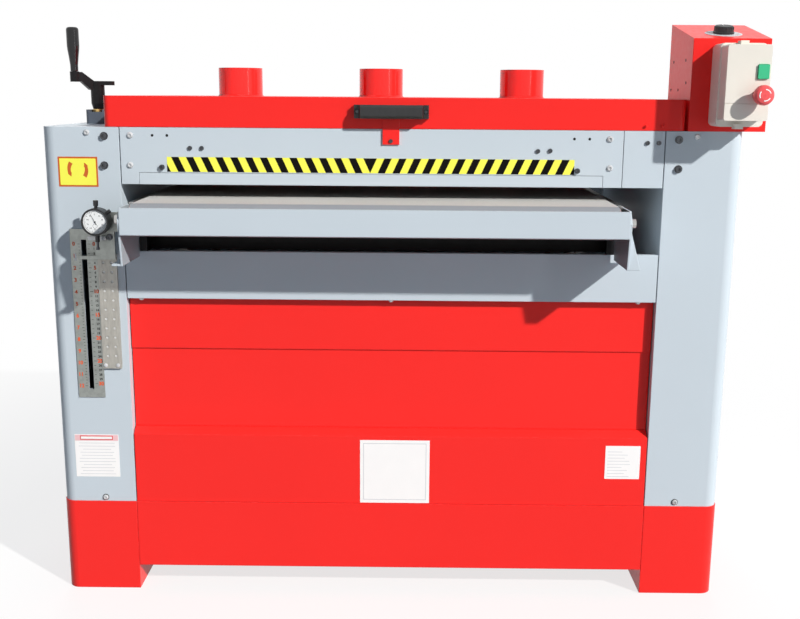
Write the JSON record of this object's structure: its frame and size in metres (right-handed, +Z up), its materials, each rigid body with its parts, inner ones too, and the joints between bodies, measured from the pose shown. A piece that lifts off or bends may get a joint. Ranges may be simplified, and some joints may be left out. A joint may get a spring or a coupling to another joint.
{
  "type": "drum sander",
  "caption": "Floor-standing drum sander for boards: enclosed sanding head with dust ports and hinged hood over a power-fed conveyor table raised by a crank",
  "frame": {"origin": "on the floor under the middle of the outline seen from above, cranks and console included", "axes": "+X to the operator's right along the drums, +Y the way the boards are fed, +Z up; the operator stands at -Y"},
  "size_m": [1.4666, 0.94, 1.228],
  "materials": {
    "red_paint": "gloss enamel",
    "grey_paint": "satin enamel",
    "steel": "bright",
    "zinc_steel": "zinc plated",
    "black_steel": "black oxide",
    "black_plastic": "moulded",
    "cream_plastic": "moulded",
    "motor_paint": "painted casting",
    "drum_aluminium": "abrasive-wrapped",
    "black_rubber": "matt",
    "belt_cloth": "coarse fabric-faced",
    "green_plastic": "moulded",
    "red_plastic": "moulded"
  },
  "bodies": {
    "frame": {"base_frame": "red_paint", "column_left": "grey_paint", "column_right": "grey_paint", "side_plate_left": "grey_paint", "side_plate_right": "grey_paint", "front_beam": "grey_paint", "beam_end_cover": "grey_paint", "infeed_guard": "grey_paint", "rear_panels": "grey_paint", "front_panel_lower": "red_paint", "front_panel_upper": "red_paint", "lift_chassis": "grey_paint", "lift_chain": "black_steel", "crank_block": "grey_paint", "control_console": "red_paint", "switch_housing": "cream_plastic", "switch_cover": "cream_plastic", "drum_bearings": "motor_paint", "main_motor": "motor_paint", "drive_belts": "black_rubber", "scale_plate": "zinc_steel", "hole_plate": "zinc_steel", "hood_hinge_leaves": "steel", "frame_screws": "steel"},
    "hood": {"hood_shell": "red_paint", "dust_ports": "red_paint", "hood_handle": "black_plastic", "hood_hinge_knuckles": "steel"},
    "table": {"table_frame": "black_steel", "jack_screws": "steel", "aprons": "grey_paint", "conveyor_bed": "steel", "conveyor_sides": "grey_paint", "conveyor_covers": "grey_paint", "conveyor_belt": "belt_cloth", "roller_bearings": "steel", "feed_motor": "motor_paint", "gauge_bracket": "zinc_steel", "dial_gauge": "black_plastic"},
    "crank": {"crank_shaft": "steel", "crank_arm": "black_steel"},
    "grip": {"crank_grip": "black_plastic"},
    "gauge_spindle": {"dial_spindle": "steel"},
    "idler": {"idler_roller": "steel"},
    "drive": {"drive_roller": "steel"},
    "front_drum": {"drum_front": "drum_aluminium"},
    "rear_drum": {"drum_rear": "drum_aluminium"},
    "motor_rotor": {"motor_pulley": "steel"},
    "infeed_blocks": {"pressure_brackets_front": "black_steel"},
    "outfeed_blocks": {"pressure_brackets_rear": "black_steel"},
    "infeed_roller": {"pressure_roller_front": "steel"},
    "outfeed_roller": {"pressure_roller_rear": "steel"},
    "start": {"start_button": "green_plastic"},
    "stop": {"stop_button": "red_plastic"},
    "speed": {"speed_knob": "black_plastic"},
    "nut_front_left": {"lift_nut_front_left": "steel"},
    "nut_front_right": {"lift_nut_front_right": "steel"},
    "nut_rear_left": {"lift_nut_rear_left": "steel"},
    "nut_rear_right": {"lift_nut_rear_right": "steel"}
  },
  "joints": [
    {"name": "crank_turn", "type": "hinge", "parent": "frame", "child": "crank", "pos_m": [-0.67875, -0.09, 1], "axis": [0, 0, 1], "range_deg": [-7200, 1080]},
    {"name": "table_lift", "type": "slide", "parent": "frame", "child": "table", "axis": [0, 0, 1], "range_m": [-0.12, 0.018]},
    {"name": "grip_spin", "type": "hinge", "parent": "crank", "child": "grip", "pos_m": [-0.71875, -0.12, 1.15], "axis": [0, 0, 1], "continuous": true},
    {"name": "hood_open", "type": "hinge", "parent": "frame", "child": "hood", "pos_m": [-0.01875, 0.3275, 1.012], "axis": [-1, 0, 0], "range_deg": [0, 75]},
    {"name": "front_drum_spin", "type": "hinge", "parent": "frame", "child": "front_drum", "pos_m": [-0.01875, -0.11, 0.9655], "axis": [1, 0, 0], "continuous": true},
    {"name": "rear_drum_spin", "type": "hinge", "parent": "frame", "child": "rear_drum", "pos_m": [-0.01875, 0.11, 0.9655], "axis": [1, 0, 0], "continuous": true},
    {"name": "motor_spin", "type": "hinge", "parent": "frame", "child": "motor_rotor", "pos_m": [-0.01875, 0, 0.27], "axis": [1, 0, 0], "continuous": true},
    {"name": "drive_roller_spin", "type": "hinge", "parent": "table", "child": "drive", "pos_m": [-0.01875, 0.43, 0.835], "axis": [1, 0, 0], "continuous": true},
    {"name": "idler_roller_spin", "type": "hinge", "parent": "table", "child": "idler", "pos_m": [-0.01875, -0.43, 0.835], "axis": [1, 0, 0], "continuous": true},
    {"name": "start_press", "type": "slide", "parent": "frame", "child": "start", "axis": [0, 1, 0], "range_m": [0, 0.003], "stiffness_N_per_m": 500, "springref_m": -0.004},
    {"name": "stop_press", "type": "slide", "parent": "frame", "child": "stop", "axis": [0, 1, 0], "range_m": [0, 0.005], "stiffness_N_per_m": 800, "springref_m": -0.005},
    {"name": "gauge_spindle_slide", "type": "slide", "parent": "table", "child": "gauge_spindle", "axis": [0, 0, 1], "range_m": [0, 0.01], "stiffness_N_per_m": 80, "springref_m": -0.01},
    {"name": "speed_turn", "type": "hinge", "parent": "frame", "child": "speed", "pos_m": [0.65325, -0.26123, 1.20308], "axis": [0, -0.2013, 0.9795], "range_deg": [-140, 140]},
    {"name": "nut_front_left_turn", "type": "hinge", "parent": "frame", "child": "nut_front_left", "pos_m": [-0.47925, -0.2, 0.42], "axis": [0, 0, 1], "range_deg": [-7200, 1080]},
    {"name": "nut_front_right_turn", "type": "hinge", "parent": "frame", "child": "nut_front_right", "pos_m": [0.38075, -0.2, 0.42], "axis": [0, 0, 1], "range_deg": [-7200, 1080]},
    {"name": "nut_rear_left_turn", "type": "hinge", "parent": "frame", "child": "nut_rear_left", "pos_m": [-0.47925, 0.2, 0.42], "axis": [0, 0, 1], "range_deg": [-7200, 1080]},
    {"name": "nut_rear_right_turn", "type": "hinge", "parent": "frame", "child": "nut_rear_right", "pos_m": [0.38075, 0.2, 0.42], "axis": [0, 0, 1], "range_deg": [-7200, 1080]},
    {"name": "infeed_float", "type": "slide", "parent": "frame", "child": "infeed_blocks", "axis": [0, 0, 1], "range_m": [0, 0.006], "stiffness_N_per_m": 6000, "springref_m": -0.02},
    {"name": "infeed_roller_spin", "type": "hinge", "parent": "infeed_blocks", "child": "infeed_roller", "pos_m": [-0.01875, -0.23, 0.913], "axis": [1, 0, 0], "continuous": true},
    {"name": "outfeed_float", "type": "slide", "parent": "frame", "child": "outfeed_blocks", "axis": [0, 0, 1], "range_m": [0, 0.006], "stiffness_N_per_m": 6000, "springref_m": -0.02},
    {"name": "outfeed_roller_spin", "type": "hinge", "parent": "outfeed_blocks", "child": "outfeed_roller", "pos_m": [-0.01875, 0.23, 0.913], "axis": [1, 0, 0], "continuous": true}
  ],
  "couplings": [
    {"joint": "crank_turn", "follows": "table_lift", "rad_per_m": 1047.2},
    {"joint": "nut_front_left_turn", "follows": "table_lift", "rad_per_m": 1047.2},
    {"joint": "nut_front_right_turn", "follows": "table_lift", "rad_per_m": 1047.2},
    {"joint": "nut_rear_left_turn", "follows": "table_lift", "rad_per_m": 1047.2},
    {"joint": "nut_rear_right_turn", "follows": "table_lift", "rad_per_m": 1047.2},
    {"joint": "rear_drum_spin", "follows": "front_drum_spin", "ratio": 1},
    {"joint": "motor_spin", "follows": "front_drum_spin", "ratio": 0.68},
    {"joint": "idler_roller_spin", "follows": "drive_roller_spin", "ratio": 1}
  ]
}
